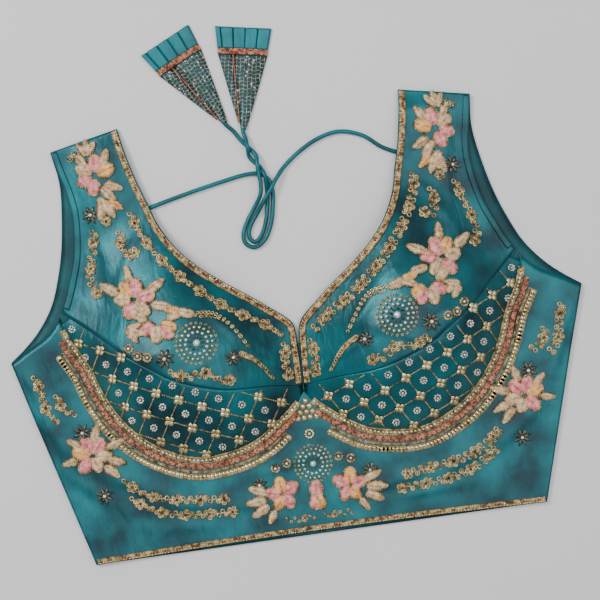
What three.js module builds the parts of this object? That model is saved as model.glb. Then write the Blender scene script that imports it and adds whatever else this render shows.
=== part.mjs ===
// A padded choli blouse laid flat, front up: a plain back, a front of two yokes, two moulded
// lower cups and a midriff band, sewn trims, and a back-neck tie (dori) with two tassels (latkans).
// Millimetres. X to the wearer's left as seen here on the right, Y up to the shoulders, Z up.
// The origin is on the resting surface, in the middle of the garment's footprint.
import * as THREE from "three";
import { mergeVertices, mergeGeometries } from "three/addons/utils/BufferGeometryUtils.js";

// ---- driving dimensions ---------------------------------------------------------------
const BODY_LENGTH = 361; // hem to strap top
const CLOTH = 1.6; // front cloth with its backing
const BACK_CLOTH = 1.5;
const SEAM_GAP = 0.3;
const LAY_GAP = 0.4; // air between back and front where they rest on each other
const FRONT_TOP = BACK_CLOTH + LAY_GAP + CLOTH;
const CUP_HEIGHT = 40;
const CUP_CENTRE = { x: 92, y: 165 };
const STRAP_LIFT = 3.6; // the strap lies over the end of the dori
const TRIM = 1.0; // thickness of a sewn-on trim
const TRIM_LIFT = 0.5;
const DORI = 3.6; // diameter of the fabric tube
const MIDDLE = { x: 2.45, y: BODY_LENGTH / 2 - 1.75 }; // of the laid footprint, from the hem's middle

// ---- outline of the right half, from the centre front ------------------------------------
const NECKLINE = [
  { x: 0.3, y: 122 }, { x: 0.5, y: 150 }, { x: 2.6, y: 176 }, { x: 9, y: 184 }, { x: 20, y: 193 },
  { x: 32, y: 203 }, { x: 52, y: 218 }, { x: 74, y: 237 }, { x: 88, y: 254 }, { x: 99, y: 275 },
  { x: 104, y: 292 }, { x: 111, y: 316 }, { x: 117, y: 345 }, { x: 119, y: 359 },
];
const ARMHOLE = [
  { x: 192.6, y: 212.4 }, { x: 188, y: 221 }, { x: 180, y: 240 }, { x: 174, y: 257 },
  { x: 169, y: 290 }, { x: 170, y: 308 }, { x: 174, y: 327 }, { x: 178, y: 347 },
];
const UNDERARM = [{ x: 242, y: 176 }, { x: 222, y: 187 }, { x: 209, y: 194 }, { x: 202, y: 200 }, { x: 195, y: 208 }];
const BACK_ARMHOLE = [
  { x: 242, y: 176.5 }, { x: 228, y: 187 }, { x: 214, y: 200 }, { x: 200, y: 219 },
  { x: 191, y: 240 }, { x: 184, y: 262 }, { x: 178, y: 292 }, { x: 175, y: 320 }, { x: 178, y: 346 },
];
const BACK_NECK = [
  { x: 123, y: 356 }, { x: 119, y: 330 }, { x: 112, y: 296 }, { x: 104, y: 268 },
  { x: 90, y: 238 }, { x: 66, y: 204 }, { x: 34, y: 172 }, { x: 0.3, y: 160 },
];
const CUP_SEAM = [
  { x: 0.4, y: 124 }, { x: 26, y: 128 }, { x: 68, y: 132 }, { x: 105, y: 145 },
  { x: 124, y: 157 }, { x: 143, y: 170 }, { x: 163, y: 188 }, { x: 192.6, y: 212.4 },
];
const HEM = { corner: 191, side: 242, sideY: 176, rise: 3 };

// reach of the cup around its centre: the lower cup's seam below, the fade into the strap above
const CUP_REACH = [
  { deg: -154, reach: 102.4 }, { deg: -133, reach: 97 }, { deg: -119, reach: 95.8 }, { deg: -104, reach: 93 },
  { deg: -88, reach: 91 }, { deg: -73, reach: 87 }, { deg: -57, reach: 83.8 }, { deg: -38, reach: 81.2 },
  { deg: -17, reach: 81.6 }, { deg: 0, reach: 87 }, { deg: 23, reach: 112 }, { deg: 42, reach: 114 },
  { deg: 65, reach: 126 }, { deg: 90, reach: 126 }, { deg: 120, reach: 98 }, { deg: 150, reach: 92 },
  { deg: 180, reach: 99 },
];
const CUP_EDGE = { fromDeg: -154, toDeg: 23 };

// a laid garment leans a little: its straps swing over
const LEAN = [
  { y: -10, dx: -1 }, { y: 122, dx: 1 }, { y: 177, dx: 2.5 }, { y: 290, dx: -2.5 }, { y: 362, dx: -5 },
];

// soft ridges of the laid cloth: centre, run direction, half length, half width, height
const FOLDS = [
  { x: -150, y: 62, deg: -28, along: 46, across: 7, high: 1.6 },
  { x: -92, y: 36, deg: -6, along: 52, across: 6, high: 1.2 },
  { x: -18, y: 62, deg: 12, along: 30, across: 5, high: 1.0 },
  { x: 62, y: 34, deg: 9, along: 48, across: 6, high: 1.3 },
  { x: 138, y: 50, deg: 26, along: 44, across: 7, high: 1.6 },
  { x: 212, y: 118, deg: 62, along: 40, across: 7, high: 1.4 },
  { x: -212, y: 112, deg: -58, along: 40, across: 7, high: 1.4 },
  { x: -150, y: 282, deg: 96, along: 46, across: 6, high: 1.5 },
  { x: 148, y: 300, deg: 84, along: 50, across: 6, high: 1.5 },
  { x: -40, y: 168, deg: 138, along: 30, across: 5, high: 1.2 },
  { x: 42, y: 166, deg: 42, along: 30, across: 5, high: 1.2 },
];

const COLOURS = {
  satin: { color: 0x047c82, roughness: 0.45, metalness: 0.1 },
  satinDark: { color: 0x02595f, roughness: 0.55, metalness: 0.05 },
  zari: { color: 0xc9ae7c, roughness: 0.45, metalness: 0.6 },
  sequin: { color: 0xe8d9a0, roughness: 0.25, metalness: 0.8 },
  coral: { color: 0xc9765a, roughness: 0.6, metalness: 0.1 },
};

// ---- curves ------------------------------------------------------------------------------
const smooth = (from, to, value) => THREE.MathUtils.smoothstep((value - from) / (to - from), 0, 1);

function curveThrough(rows) {
  const points = rows.map(({ x, y }) => new THREE.Vector3(x, y, 0));
  return new THREE.CatmullRomCurve3(points, false, "centripetal");
}

function lookUp(rows, keyName, valueName, key) {
  const last = rows.length - 1;
  const held = THREE.MathUtils.clamp(key, rows[0][keyName], rows[last][keyName]);
  const next = Math.max(1, rows.findIndex((row) => row[keyName] >= held));
  const share = (held - rows[next - 1][keyName]) / (rows[next][keyName] - rows[next - 1][keyName]);
  return THREE.MathUtils.lerp(rows[next - 1][valueName], rows[next][valueName], share);
}

const lean = (y) => lookUp(LEAN, "y", "dx", y);

// Catmull-Rom over the angle table, which closes on itself
function cupReach(angle) {
  const deg = THREE.MathUtils.euclideanModulo(THREE.MathUtils.radToDeg(angle) + 154, 360) - 154;
  const count = CUP_REACH.length;
  const at = (i) => {
    const turn = Math.floor(i / count);
    const row = CUP_REACH[i - turn * count];
    return { deg: row.deg + 360 * turn, reach: row.reach };
  };
  let i = 0;
  while (at(i + 1).deg <= deg) i += 1;
  const [a, b, c, d] = [at(i - 1), at(i), at(i + 1), at(i + 2)];
  const t = (deg - b.deg) / (c.deg - b.deg);
  const slopeB = ((c.reach - a.reach) / (c.deg - a.deg)) * (c.deg - b.deg);
  const slopeC = ((d.reach - b.reach) / (d.deg - b.deg)) * (c.deg - b.deg);
  const t2 = t * t;
  const t3 = t2 * t;
  return (2 * t3 - 3 * t2 + 1) * b.reach + (t3 - 2 * t2 + t) * slopeB
    + (3 * t2 - 2 * t3) * c.reach + (t3 - t2) * slopeC;
}

function cupEdgePoint(share) {
  const angle = THREE.MathUtils.degToRad(THREE.MathUtils.lerp(CUP_EDGE.fromDeg, CUP_EDGE.toDeg, share));
  const reach = cupReach(angle);
  return { x: CUP_CENTRE.x + reach * Math.cos(angle), y: CUP_CENTRE.y + reach * Math.sin(angle) };
}

// ---- the one surface that all front pieces lie on ------------------------------------------
function cupRise(x, y) {
  const dx = Math.abs(x) - CUP_CENTRE.x;
  const dy = y - CUP_CENTRE.y;
  const angle = Math.atan2(dy, dx);
  const q = Math.hypot(dx, dy) / cupReach(angle);
  if (q >= 1) return 0;
  const deg = THREE.MathUtils.radToDeg(angle);
  const creased = deg < 0 ? 1 - smooth(-125, -178, deg) : 1 - smooth(0, 30, deg);
  const moulded = 1 - q ** 2.5;
  const faded = (1 - q * q) ** 2;
  return CUP_HEIGHT * THREE.MathUtils.lerp(faded, moulded, creased);
}

function foldRise(x, y) {
  return FOLDS.reduce((sum, fold) => {
    const turn = THREE.MathUtils.degToRad(fold.deg);
    const dx = x - fold.x;
    const dy = y - fold.y;
    const along = (dx * Math.cos(turn) + dy * Math.sin(turn)) / fold.along;
    const across = (dy * Math.cos(turn) - dx * Math.sin(turn)) / fold.across;
    return sum + fold.high * Math.exp(-along * along - across * across);
  }, 0);
}

function strapRise(x, y) {
  const inner = 1 - smooth(135, 168, Math.abs(x));
  return STRAP_LIFT * inner * smooth(215, 265, y) * (1 - smooth(338, 358, y));
}

const frontHeight = (x, y) => FRONT_TOP + cupRise(x, y) + foldRise(x, y) + strapRise(x, y);

function frontNormal(x, y) {
  const step = 0.2;
  const slopeX = (frontHeight(x + step, y) - frontHeight(x - step, y)) / (2 * step);
  const slopeY = (frontHeight(x, y + step) - frontHeight(x, y - step)) / (2 * step);
  return new THREE.Vector3(-slopeX, -slopeY, 1).normalize();
}

const toward = (from, to, distance) => {
  const length = Math.hypot(to.x - from.x, to.y - from.y) || 1;
  return { x: from.x + ((to.x - from.x) * distance) / length, y: from.y + ((to.y - from.y) * distance) / length };
};

// a point of the front at this place, raised off its surface; the normal is read a little inside the piece
function onFront(place, inside, raise) {
  const read = toward(place, inside, 0.6);
  const normal = frontNormal(read.x, read.y);
  const point = new THREE.Vector3(place.x, place.y, frontHeight(place.x, place.y));
  point.addScaledVector(normal, raise);
  point.x += lean(place.y) - MIDDLE.x;
  point.y -= MIDDLE.y;
  return point;
}

// ---- closed walls from grids of points -----------------------------------------------------
function closedGeometry(vertices, faces) {
  const geometry = new THREE.BufferGeometry();
  geometry.setAttribute("position", new THREE.Float32BufferAttribute(vertices.flatMap((v) => [v.x, v.y, v.z]), 3));
  const volume = faces.reduce((sum, [a, b, c]) => {
    const cross = vertices[b].clone().cross(vertices[c]);
    return sum + vertices[a].dot(cross);
  }, 0);
  const outward = volume > 0 ? faces : faces.map(([a, b, c]) => [a, c, b]);
  geometry.setIndex(outward.flat());
  geometry.computeVertexNormals();
  return geometry;
}

// a wall whose upper and lower skins are grids of rows; the rim joins them
function wallFromGrids(upper, lower) {
  const rows = upper.length;
  const columns = upper[0].length;
  const vertices = [...upper.flat(), ...lower.flat()];
  const top = (r, c) => r * columns + c;
  const under = (r, c) => rows * columns + r * columns + c;
  const faces = [];
  const quad = (a, b, c, d) => faces.push([a, b, c], [a, c, d]);
  for (let r = 0; r < rows - 1; r += 1) {
    for (let c = 0; c < columns - 1; c += 1) {
      quad(top(r, c), top(r, c + 1), top(r + 1, c + 1), top(r + 1, c));
      quad(under(r, c), under(r + 1, c), under(r + 1, c + 1), under(r, c + 1));
    }
    quad(top(r, 0), top(r + 1, 0), under(r + 1, 0), under(r, 0));
    quad(top(r + 1, columns - 1), top(r, columns - 1), under(r, columns - 1), under(r + 1, columns - 1));
  }
  for (let c = 0; c < columns - 1; c += 1) {
    quad(top(0, c + 1), top(0, c), under(0, c), under(0, c + 1));
    quad(top(rows - 1, c), top(rows - 1, c + 1), under(rows - 1, c + 1), under(rows - 1, c));
  }
  return closedGeometry(vertices, faces);
}

// cloth between two edges of the front, each given as a function of the share along it
function frontPanel(side, edgeA, edgeB, alongSteps, acrossSteps) {
  const upper = [];
  const lower = [];
  for (let i = 0; i <= alongSteps; i += 1) {
    const a = edgeA(i / alongSteps);
    const b = edgeB(i / alongSteps);
    const width = Math.hypot(b.x - a.x, b.y - a.y);
    const middle = { x: (a.x + b.x) / 2, y: (a.y + b.y) / 2 };
    const places = Array.from({ length: acrossSteps + 1 }, (_, j) => {
      const run = SEAM_GAP / 2 + (j / acrossSteps) * (width - SEAM_GAP);
      return toward(a, b, run);
    });
    const placed = (raise) => places.map((p) => onFront(flip(p, side), flip(middle, side), raise));
    upper.push(placed(0));
    lower.push(placed(-CLOTH));
  }
  return wallFromGrids(upper, lower);
}

const flip = (place, side) => ({ x: place.x * side, y: place.y });

// a narrow strip lying on the front beside a path; positive offsets lie to the path's left
function trimStrip(side, path, steps, offsets, thickness = TRIM) {
  const upper = [];
  const lower = [];
  for (let i = 0; i <= steps; i += 1) {
    const here = path(i / steps);
    const ahead = path(Math.min(1, i / steps + 0.002));
    const behind = path(Math.max(0, i / steps - 0.002));
    const length = Math.hypot(ahead.x - behind.x, ahead.y - behind.y);
    const normal = { x: -(ahead.y - behind.y) / length, y: (ahead.x - behind.x) / length };
    const places = offsets.map((d) => flip({ x: here.x + normal.x * d, y: here.y + normal.y * d }, side));
    upper.push(places.map((p) => onFront(p, p, TRIM_LIFT + thickness)));
    lower.push(places.map((p) => onFront(p, p, TRIM_LIFT)));
  }
  return wallFromGrids(upper, lower);
}

// ---- sub-parts -----------------------------------------------------------------------------
const choli = new THREE.Group();

function add(name, geometry, finish) {
  const bare = geometry.clone();
  bare.deleteAttribute("normal");
  bare.deleteAttribute("uv");
  const mesh = new THREE.Mesh(mergeVertices(bare, 1e-4), new THREE.MeshStandardMaterial(COLOURS[finish]));
  mesh.geometry.computeVertexNormals();
  mesh.name = name;
  choli.add(mesh);
}

const neckCurve = curveThrough(NECKLINE);
const armholeCurve = curveThrough(ARMHOLE);
const underarmCurve = curveThrough(UNDERARM);
const seamCurve = curveThrough(CUP_SEAM);

// yoke: from the cup seam and the armhole across to the centre front and the neckline
function yokeOuter(share) {
  const seamShare = 0.52;
  if (share <= seamShare) return seamCurve.getPointAt(share / seamShare);
  return armholeCurve.getPointAt((share - seamShare) / (1 - seamShare));
}

const yokeInner = (share) => neckCurve.getPointAt(0.012 + 0.988 * share);

// lower cup: the crescent between its outer seam and the cup seam
const cupOuter = (share) => toward(cupEdgePoint(0.018 + 0.96 * share), CUP_CENTRE, 1.5 * SEAM_GAP);
const cupInner = (share) => {
  const point = seamCurve.getPointAt(0.01 + 0.955 * share);
  return { x: point.x, y: point.y - 2 * SEAM_GAP };
};

// midriff: from the hem up to the underarm and the cups
function midriffTop(share) {
  const side = Math.sign(share - 0.5) || 1;
  const out = Math.abs(share - 0.5) * 2;
  const underarmShare = 0.8;
  if (out > underarmShare) {
    const point = underarmCurve.getPointAt(1 - (out - underarmShare) / (1 - underarmShare));
    return flip(point, side);
  }
  const point = cupEdgePoint(out / underarmShare);
  return { x: Math.max(0, point.x) * side, y: point.y };
}

function hemEdge(share) {
  const x = (share - 0.5) * 2 * HEM.corner;
  return { x, y: -1.5 + HEM.rise * Math.cos((Math.PI * x) / 2 / HEM.corner) };
}

const hemToTop = (share) => {
  const out = Math.abs(share - 0.5) * 2;
  const eased = Math.sign(share - 0.5) * out ** 1.12;
  return hemEdge(0.5 + eased / 2);
};

function buildFront() {
  for (const [label, side] of [["left", -1], ["right", 1]]) {
    add(`yoke_${label}`, frontPanel(side, yokeOuter, yokeInner, 40, 7), "satin");
    add(`cup_lower_${label}`, frontPanel(side, cupOuter, cupInner, 28, 6), "satin");
  }
  add("midriff", frontPanel(1, hemToTop, midriffTop, 72, 6), "satin");
}

// the back lies flat on the surface; only its armhole edge shows
function buildBack() {
  const armhole = curveThrough(BACK_ARMHOLE).getSpacedPoints(22);
  const neck = curveThrough(BACK_NECK).getSpacedPoints(22);
  for (const [label, side] of [["left", -1], ["right", 1]]) {
    const outline = [
      { x: SEAM_GAP / 2, y: -1.5 + HEM.rise }, { x: 100, y: 0.6 }, { x: HEM.corner, y: -1.5 },
      ...armhole, ...neck, { x: SEAM_GAP / 2, y: 158 },
    ];
    const placed = outline.map((p) => new THREE.Vector2(p.x * side + lean(p.y) - MIDDLE.x, p.y - MIDDLE.y));
    const shape = new THREE.Shape(side > 0 ? placed : placed.reverse());
    const panel = new THREE.ExtrudeGeometry(shape, { depth: BACK_CLOTH, bevelEnabled: false, steps: 1 });
    add(`back_${label}`, panel, "satinDark");
  }
}

function edgeRow(fromShare, toShare) {
  return (share) => cupEdgePoint(THREE.MathUtils.lerp(fromShare, toShare, share));
}

function buildTrims() {
  for (const [label, side] of [["left", -1], ["right", 1]]) {
    add(`neck_trim_${label}`, trimStrip(side, (s) => neckCurve.getPointAt(0.015 + 0.98 * s), 56, [-1.2, -6]), "zari");
    add(`armhole_binding_${label}`, trimStrip(side, (s) => armholeCurve.getPointAt(0.03 + 0.96 * s), 26, [0.3, 5.6], 0.8), "satin");
    add(`cup_bead_row_${label}`, trimStrip(side, edgeRow(0.035, 0.97), 44, [-2.9, 0, 2.9]), "sequin");
    add(`cup_braid_${label}`, trimStrip(side, edgeRow(0.06, 0.95), 44, [-8.2, -3.6]), "coral");
    add(`cup_sequin_row_${label}`, trimStrip(side, edgeRow(0.115, 0.93), 44, [-17.4, -11.4]), "sequin");
  }
  add("hem_trim", trimStrip(1, (s) => hemEdge(0.004 + 0.992 * s), 60, [0.6, 4.9]), "zari");
}

// ---- the tie ---------------------------------------------------------------------------------
// each dori runs from under the strap to the knot, round the doubled loop and up to its latkan
const DORI_LEFT = [
  [-110, 288.5, 2], [-104, 290, 2], [-87, 294, 2], [-66, 298.5, 2], [-42, 303, 2], [-22, 306, 2], [-11, 305, 2],
  [-4, 299.5, 2], [-1.8, 290, 2], [-3.2, 277, 2], [-7, 262, 2], [-13.5, 250, 2], [-22.5, 244.5, 2],
  [-30.2, 248.5, 2], [-31, 257, 2], [-26, 267.5, 2], [-18.5, 278, 3.4], [-12.5, 287, 6], [-10.8, 296, 6.6],
  [-11.4, 305, 6.6], [-11.4, 313, 7], [-11.6, 321, 4.2], [-17.6, 329, 1.9], [-23, 336, 1.9], [-27.5, 343.5, 2],
  [-33.2, 350.2, 2.4],
];
const DORI_RIGHT = [
  [109.4, 306.4, 2], [104, 308, 2], [93, 314, 2], [79.5, 325, 2], [61, 331, 2], [43, 328, 2], [25, 319, 2],
  [11, 308.5, 2.2], [4, 300.5, 4.6], [-2.6, 291.5, 6.6], [-10.4, 281.5, 6], [-17.5, 272, 2.8], [-24, 263, 2],
  [-26.6, 254.5, 2], [-22.8, 249, 2], [-16.6, 253, 2], [-11.4, 263.5, 2], [-8, 277, 2], [-6.4, 288, 2.2],
  [-6.2, 296, 4.4], [-6.6, 303.5, 6.4], [-9.8, 311, 3], [-16.9, 319.5, 2.4], [-17.5, 327.5, 6.8], [-18.2, 336, 4.2],
  [-19.4, 342.6, 2.4],
];

function buildTie() {
  const sides = 8;
  const section = new THREE.Shape(Array.from({ length: sides }, (_, i) => {
    const angle = (2 * Math.PI * i) / sides;
    return new THREE.Vector2((Math.cos(angle) * DORI) / 2, (Math.sin(angle) * DORI) / 2);
  }));
  for (const [label, route] of [["left", DORI_LEFT], ["right", DORI_RIGHT]]) {
    const points = route.map(([x, y, z]) => new THREE.Vector3(x - MIDDLE.x, y - MIDDLE.y, z));
    const path = new THREE.CatmullRomCurve3(points, false, "centripetal");
    add(`dori_${label}`, new THREE.ExtrudeGeometry(section, { steps: 44, extrudePath: path }), "satin");
  }
}

// ---- the latkans: an embroidered cone folded flat, a bead band and a box-pleated frill ---------
const LATKANS = [
  { label: "left", tip: { x: -33.9, y: 351.1 }, deg: 115.5, foldSide: 1 },
  { label: "right", tip: { x: -19.6, y: 343.6 }, deg: 79.5, foldSide: 1 },
];
const CONE = { length: 63, tipHalf: 2.2, bandHalf: 14.5, high: 5, foldHalf: 8.5, foldHigh: 3.4 };
const BAND = { width: 4.5, high: 5.4 };
const FRILL = { length: 18, high: 3.4, valley: 1.7, flare: 1.12, pleats: 3 };

// sections of a flat folded form, each a ring of points across its width, lofted along the axis
function loft(latkan, sections) {
  const axis = THREE.MathUtils.degToRad(latkan.deg);
  const rings = sections.map(({ along, ring }) => ring.map(({ across, high }) => new THREE.Vector3(
    latkan.tip.x - MIDDLE.x + along * Math.cos(axis) - across * Math.sin(axis),
    latkan.tip.y - MIDDLE.y + along * Math.sin(axis) + across * Math.cos(axis),
    high,
  )));
  const count = rings[0].length;
  const vertices = rings.flat();
  const faces = [];
  for (let r = 0; r < rings.length - 1; r += 1) {
    for (let i = 0; i < count; i += 1) {
      const a = r * count + i;
      const b = r * count + ((i + 1) % count);
      faces.push([a, b, b + count], [a, b + count, a + count]);
    }
  }
  const flat = sections[0].ring.map(({ across, high }) => new THREE.Vector2(across, high));
  const caps = THREE.ShapeUtils.triangulateShape(flat, []);
  const lastRing = (rings.length - 1) * count;
  for (const [a, b, c] of caps) {
    faces.push([a, c, b], [a + lastRing, b + lastRing, c + lastRing]);
  }
  return closedGeometry(vertices, faces);
}

// a flat oval section with its underside on the surface
function ovalRing(from, to, high, count = 12) {
  const middle = (from + to) / 2;
  const half = (to - from) / 2;
  return Array.from({ length: count }, (_, i) => {
    const angle = (2 * Math.PI * i) / count;
    const rise = Math.sign(Math.sin(angle)) * Math.abs(Math.sin(angle)) ** 0.6;
    return { across: middle + half * Math.cos(angle), high: 0.2 + (high / 2) * (1 + rise) };
  });
}

// a section of box pleats: raised flats with narrow valleys between them
function pleatRing(from, to) {
  const pitch = (to - from) / FRILL.pleats;
  const top = [];
  for (let p = 0; p < FRILL.pleats; p += 1) {
    const start = from + p * pitch;
    top.push({ across: start + 0.02 * pitch, high: FRILL.valley });
    top.push({ across: start + 0.1 * pitch, high: FRILL.high });
    top.push({ across: start + 0.88 * pitch, high: FRILL.high - 0.3 });
    top.push({ across: start + 0.97 * pitch, high: FRILL.valley });
  }
  return [{ across: to, high: 0.2 }, ...top.reverse(), { across: from, high: 0.2 }];
}

function buildLatkans() {
  for (const latkan of LATKANS) {
    const s = latkan.foldSide;
    const bandStart = CONE.length + SEAM_GAP;
    const bandEnd = bandStart + BAND.width;
    const frillStart = bandEnd + SEAM_GAP;
    const span = (from, to) => (s > 0 ? [from, to] : [-to, -from]);
    const cone = (share) => CONE.tipHalf + (CONE.bandHalf - CONE.tipHalf) * share ** 0.92;
    const main = [0, 0.12, 0.35, 0.65, 1].map((share) => ({
      along: CONE.length * share,
      ring: ovalRing(...span(-cone(share) * 1.25, cone(share) * 0.75), 3.4 + (CONE.high - 3.4) * share),
    }));
    const fold = [0.14, 0.35, 0.65, 1].map((share) => ({
      along: CONE.length * share,
      ring: ovalRing(...span(cone(share) * 0.75 + SEAM_GAP, cone(share) * 0.75 + SEAM_GAP + CONE.foldHalf * 1.5 * share),
        2.2 + (CONE.foldHigh - 2.2) * share),
    }));
    add(`latkan_${latkan.label}_cone`, loft(latkan, main), "satin");
    add(`latkan_${latkan.label}_cone_fold`, loft(latkan, fold), "satin");
    const innerEdge = -CONE.bandHalf * 1.25 - 0.3;
    const outerEdge = CONE.bandHalf * 0.75 + CONE.foldHalf * 1.5 + 0.6;
    const band = [bandStart, bandEnd].map((along) => ({ along, ring: ovalRing(...span(innerEdge, outerEdge), BAND.high, 16) }));
    add(`latkan_${latkan.label}_band`, loft(latkan, band), "coral");
    const frill = [0, 0.5, 1].map((share) => ({
      along: frillStart + FRILL.length * share,
      ring: pleatRing(...span(innerEdge * (1 + (FRILL.flare - 1) * share), outerEdge * (1 + (FRILL.flare - 1) * share))),
    }));
    add(`latkan_${latkan.label}_frill`, loft(latkan, frill), "satin");
  }
}

buildBack();
buildFront();
buildTrims();
buildTie();
buildLatkans();

export default choli;
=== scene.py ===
import math

import bpy
import numpy as np
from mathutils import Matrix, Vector


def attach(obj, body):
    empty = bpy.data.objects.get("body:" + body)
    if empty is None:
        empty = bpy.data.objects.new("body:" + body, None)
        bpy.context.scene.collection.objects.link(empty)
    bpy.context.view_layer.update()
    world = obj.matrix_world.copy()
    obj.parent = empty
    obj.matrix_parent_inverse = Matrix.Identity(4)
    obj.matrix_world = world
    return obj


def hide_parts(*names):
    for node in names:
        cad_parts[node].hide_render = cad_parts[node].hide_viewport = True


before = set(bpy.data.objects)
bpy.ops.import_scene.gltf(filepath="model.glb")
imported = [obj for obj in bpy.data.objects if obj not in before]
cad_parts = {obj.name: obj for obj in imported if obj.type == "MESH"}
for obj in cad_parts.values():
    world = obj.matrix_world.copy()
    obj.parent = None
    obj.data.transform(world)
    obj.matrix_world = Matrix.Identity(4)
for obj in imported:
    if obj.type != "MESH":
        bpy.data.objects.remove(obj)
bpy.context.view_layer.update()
rng = np.random.default_rng(7)
for item in bpy.context.selected_objects:
    item.select_set(False)
print("frame loaded")

mmPerMetre = 1000

# sizes in millimetres, hem's middle as zero, as the frame is cut; outlines are of the right half
garment = {"midX": 2.45, "midY": 178.75, "top": 3.5, "cloth": 1.6, "back": 1.5, "cupHigh": 40, "cupX": 92,
           "cupY": 165, "strapLift": 3.6}
neckline = [(0.3, 122), (0.5, 150), (2.6, 176), (9, 184), (20, 193), (32, 203), (52, 218), (74, 237),
            (88, 254), (99, 275), (104, 292), (111, 316), (117, 345), (119, 359)]
armhole = [(192.6, 212.4), (188, 221), (180, 240), (174, 257), (169, 290), (170, 308), (174, 327),
           (178, 347)]
underarm = [(242, 176), (222, 187), (209, 194), (202, 200), (195, 208)]
backArmhole = [(242, 176.5), (228, 187), (214, 200), (200, 219), (191, 240), (184, 262), (178, 292),
               (175, 320), (178, 346)]
backNeck = [(0.3, 160), (34, 172), (66, 204), (90, 238), (104, 268), (112, 296), (119, 330), (123, 356)]
cupSeam = [(0.4, 124), (26, 128), (68, 132), (105, 145), (124, 157), (143, 170), (163, 188), (192.6, 212.4)]
cupReachRows = [(-154, 102.4), (-133, 97), (-119, 95.8), (-104, 93), (-88, 91), (-73, 87), (-57, 83.8),
                (-38, 81.2), (-17, 81.6), (0, 87), (23, 112), (42, 114), (65, 126), (90, 126), (120, 98),
                (150, 92), (180, 99)]
hem = {"corner": 191, "edge": -1.5, "rise": 3}
leanRows = [(-10, -1), (122, 1), (177, 2.5), (290, -2.5), (362, -5)]
# folds: centre x, y, run in degrees, half length, half width, height
folds = [(-150, 62, -28, 46, 7, 1.6), (-92, 36, -6, 52, 6, 1.2), (-18, 62, 12, 30, 5, 1.0),
         (62, 34, 9, 48, 6, 1.3), (138, 50, 26, 44, 7, 1.6), (212, 118, 62, 40, 7, 1.4),
         (-212, 112, -58, 40, 7, 1.4), (-150, 282, 96, 46, 6, 1.5), (148, 300, 84, 50, 6, 1.5),
         (-40, 168, 138, 30, 5, 1.2), (42, 166, 42, 30, 5, 1.2), (-30, 150, 150, 26, 3.2, 1.4),
         (-58, 182, 128, 24, 3.4, 1.3), (34, 146, 28, 28, 3.2, 1.4), (60, 184, 54, 26, 3.4, 1.3),
         (-163, 250, 78, 34, 4, 1.3), (-128, 250, 62, 30, 4, 1.2), (166, 262, 104, 36, 4, 1.3),
         (132, 262, 118, 28, 4, 1.2), (-185, 60, -40, 30, 4, 1.0), (-120, 20, -4, 34, 4, 0.9),
         (100, 22, 4, 36, 4, 0.9), (176, 66, 40, 30, 4, 1.0), (-225, 150, -66, 22, 4, 1.0),
         (226, 150, 66, 22, 4, 1.0), (-98, 148, 20, 34, 4, 1.2), (102, 150, 160, 34, 4, 1.2),
         (-60, 110, 60, 24, 4, 0.9), (64, 108, 120, 24, 4, 0.9), (-152, 330, 100, 20, 4, 1.2),
         (146, 336, 82, 18, 4, 1.2)]


def hermite(t, start, startSlope, end, endSlope):
    return ((2 * t ** 3 - 3 * t ** 2 + 1) * start + (t ** 3 - 2 * t ** 2 + t) * startSlope
            + (3 * t ** 2 - 2 * t ** 3) * end + (t ** 3 - t ** 2) * endSlope)


def ease(low, high, value):
    t = np.clip((value - low) / (high - low), 0, 1)
    return t * t * (3 - 2 * t)


def leanAt(y):
    return np.interp(y, [row[0] for row in leanRows], [row[1] for row in leanRows])


def hemEdge(x):
    return np.stack([x, hem["edge"] + hem["rise"] * np.cos(np.pi * x / (2 * hem["corner"]))], 1)


# evenly spaced points on a centripetal curve through the rows
def curvePoints(rows, count, start=0.0, end=1.0):
    p = np.array([(2 * rows[0][0] - rows[1][0], 2 * rows[0][1] - rows[1][1])] + list(rows)
                 + [(2 * rows[-1][0] - rows[-2][0], 2 * rows[-1][1] - rows[-2][1])], float)
    out = []
    for i in range(1, len(p) - 2):
        a, b, c, d = p[i - 1:i + 3]
        gap = [max(1e-3, np.linalg.norm(w - v) ** 0.5) for v, w in ((a, b), (b, c), (c, d))]
        slopeB = ((b - a) / gap[0] - (c - a) / (gap[0] + gap[1]) + (c - b) / gap[1]) * gap[1]
        slopeC = ((c - b) / gap[1] - (d - b) / (gap[1] + gap[2]) + (d - c) / gap[2]) * gap[1]
        for t in np.linspace(0, 1, 24, endpoint=i == len(p) - 3):
            out.append(hermite(t, b, slopeB, c, slopeC))
    out = np.array(out)
    run = np.concatenate([[0], np.cumsum(np.linalg.norm(np.diff(out, axis=0), axis=1))])
    at = np.linspace(start, end, count) * run[-1]
    return np.stack([np.interp(at, run, out[:, 0]), np.interp(at, run, out[:, 1])], 1)


def reachTable():
    before, after = cupReachRows[-2:], cupReachRows[:2]
    wrapped = [(d - 360, r) for d, r in before] + cupReachRows + [(d + 360, r) for d, r in after]
    degs, reach = [], []
    for i in range(1, len(wrapped) - 2):
        (d0, r0), (d1, r1), (d2, r2), (d3, r3) = wrapped[i - 1:i + 3]
        span = d2 - d1
        slopeB, slopeC = (r2 - r0) / (d2 - d0) * span, (r3 - r1) / (d3 - d1) * span
        for t in np.linspace(0, 1, 20, endpoint=False):
            degs.append(d1 + span * t)
            reach.append(hermite(t, r1, slopeB, r2, slopeC))
    return np.array(degs), np.array(reach)


reachDegs, reachValues = reachTable()


def cupReach(deg):
    return np.interp((deg + 154) % 360 - 154, reachDegs, reachValues)


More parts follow.
